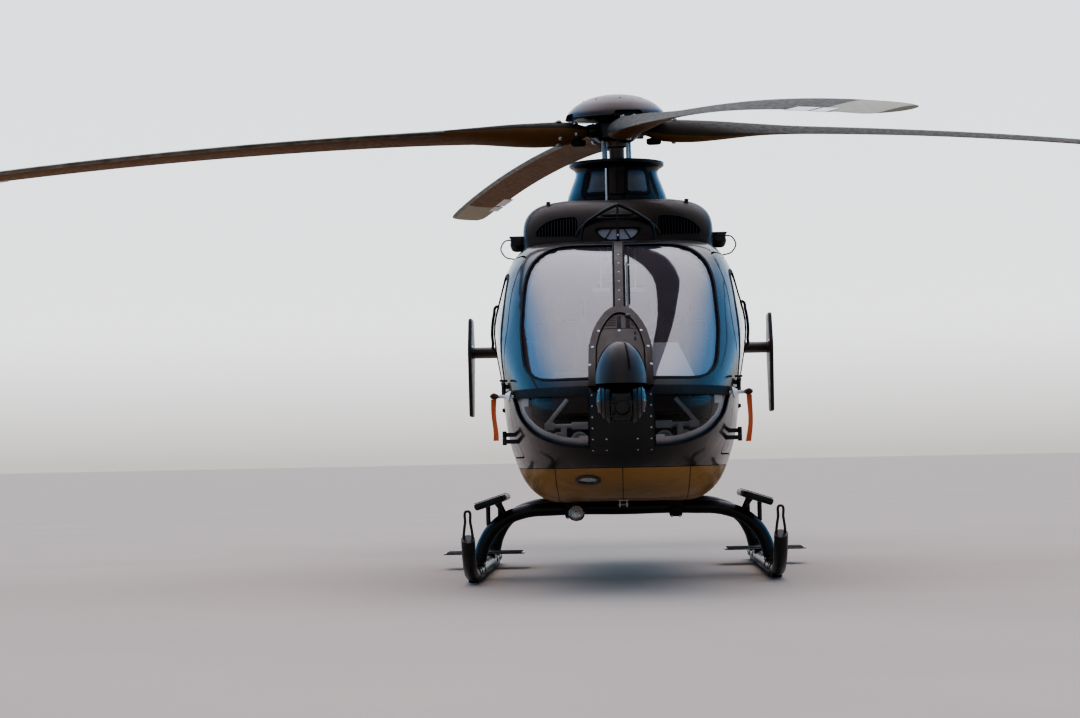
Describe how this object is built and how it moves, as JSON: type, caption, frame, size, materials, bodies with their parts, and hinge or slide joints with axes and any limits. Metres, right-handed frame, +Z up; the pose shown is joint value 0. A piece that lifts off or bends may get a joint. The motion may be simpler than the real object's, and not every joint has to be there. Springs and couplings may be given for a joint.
{
  "type": "light twin-engine helicopter",
  "caption": "Light twin-engine helicopter on skids: turning main rotor and ducted tail fan, hinged cabin and cargo doors, nose camera turret, hollow glazed cabin.",
  "frame": {"origin": "on the ground, on the centreline, at the middle of the whole machine's length with its rotor", "axes": "+Z up, nose towards -Y, the machine's left side at +X"},
  "size_m": [9.9013, 11.96, 3.5],
  "materials": {
    "paint_gloss": "gloss",
    "paint_satin": "satin",
    "paint_belly": "gloss",
    "gear_black": "satin",
    "pane": "gloss",
    "blade_coat": "matte",
    "lining": "matte",
    "trim_black": "matte",
    "seat_cloth": "matte",
    "bare_metal": "satin",
    "heat_steel": "satin"
  },
  "bodies": {
    "airframe": {"nose_shell": "paint_gloss", "belly_shell": "paint_belly", "cabin_frame": "paint_gloss", "cabin_floor": "lining", "windscreen_left": "pane", "windscreen_right": "pane", "chin_window_left": "pane", "chin_window_right": "pane", "sliding_door_left": "paint_gloss", "sliding_door_right": "paint_gloss", "sliding_door_glass_left": "pane", "sliding_door_glass_right": "pane", "rear_side_glass_left": "pane", "rear_side_glass_right": "pane", "nose_arch": "paint_satin", "instrument_panel": "trim_black", "pilot_seat_left": "seat_cloth", "pilot_seat_right": "seat_cloth", "rear_seat_row": "seat_cloth", "pedal_assembly": "lining", "brow_cowling": "paint_satin", "engine_cowling": "paint_satin", "gearbox_block": "bare_metal", "engine_block_left": "bare_metal", "engine_block_right": "bare_metal", "exhaust_left": "heat_steel", "exhaust_right": "heat_steel", "mast_fairing": "paint_satin", "wire_cutter": "gear_black", "tail_boom": "paint_gloss", "stabiliser": "paint_satin", "end_plate_left": "paint_satin", "end_plate_right": "paint_satin", "fan_shroud": "paint_gloss", "fan_stator": "paint_satin", "front_cross_tube": "gear_black", "rear_cross_tube": "gear_black", "skid_left": "gear_black", "skid_right": "gear_black", "ground_plate_left": "gear_black", "ground_plate_right": "gear_black"},
    "front_door_l": {"front_door_left": "paint_gloss", "front_door_glass_left": "pane"},
    "front_door_r": {"front_door_right": "paint_gloss", "front_door_glass_right": "pane"},
    "rear_door_l": {"rear_door_left": "paint_gloss", "rear_door_glass_left": "pane"},
    "rear_door_r": {"rear_door_right": "paint_gloss", "rear_door_glass_right": "pane"},
    "turret": {"turret_body": "trim_black"},
    "turret_lens": {"turret_drum": "trim_black"},
    "main_rotor": {"rotor_mast": "gear_black", "hub_cap": "paint_satin", "rotor_blade_1": "blade_coat", "rotor_blade_2": "blade_coat", "rotor_blade_3": "blade_coat", "rotor_blade_4": "blade_coat"},
    "tail_fan": {"tail_fan_rotor": "bare_metal"}
  },
  "joints": [
    {"name": "main_rotor_spin", "type": "hinge", "parent": "airframe", "child": "main_rotor", "pos_m": [0, -1.036, 2.96], "axis": [-0.0174, -0.0523, 0.9985], "continuous": true},
    {"name": "tail_fan_spin", "type": "hinge", "parent": "airframe", "child": "tail_fan", "pos_m": [0, 4.974, 1.9], "axis": [1, 0, 0], "continuous": true},
    {"name": "front_door_left_hinge", "type": "hinge", "parent": "airframe", "child": "front_door_l", "pos_m": [0.68176, -3.326, 1], "axis": [0, 0, -1], "range_deg": [0, 75]},
    {"name": "front_door_right_hinge", "type": "hinge", "parent": "airframe", "child": "front_door_r", "pos_m": [-0.68176, -3.326, 1], "axis": [0, 0, 1], "range_deg": [0, 75]},
    {"name": "rear_door_left_hinge", "type": "hinge", "parent": "airframe", "child": "rear_door_l", "pos_m": [0.75892, 0.154, 1.2], "axis": [0, 0, -1], "range_deg": [0, 100]},
    {"name": "rear_door_right_hinge", "type": "hinge", "parent": "airframe", "child": "rear_door_r", "pos_m": [-0.75892, 0.154, 1.2], "axis": [0, 0, 1], "range_deg": [0, 100]},
    {"name": "turret_pan", "type": "hinge", "parent": "airframe", "child": "turret", "pos_m": [0, -4.332, 1.062], "axis": [0, 0, 1], "continuous": true},
    {"name": "turret_tilt", "type": "hinge", "parent": "turret", "child": "turret_lens", "pos_m": [0, -4.332, 1.062], "axis": [1, 0, 0], "range_deg": [-30, 90]}
  ]
}
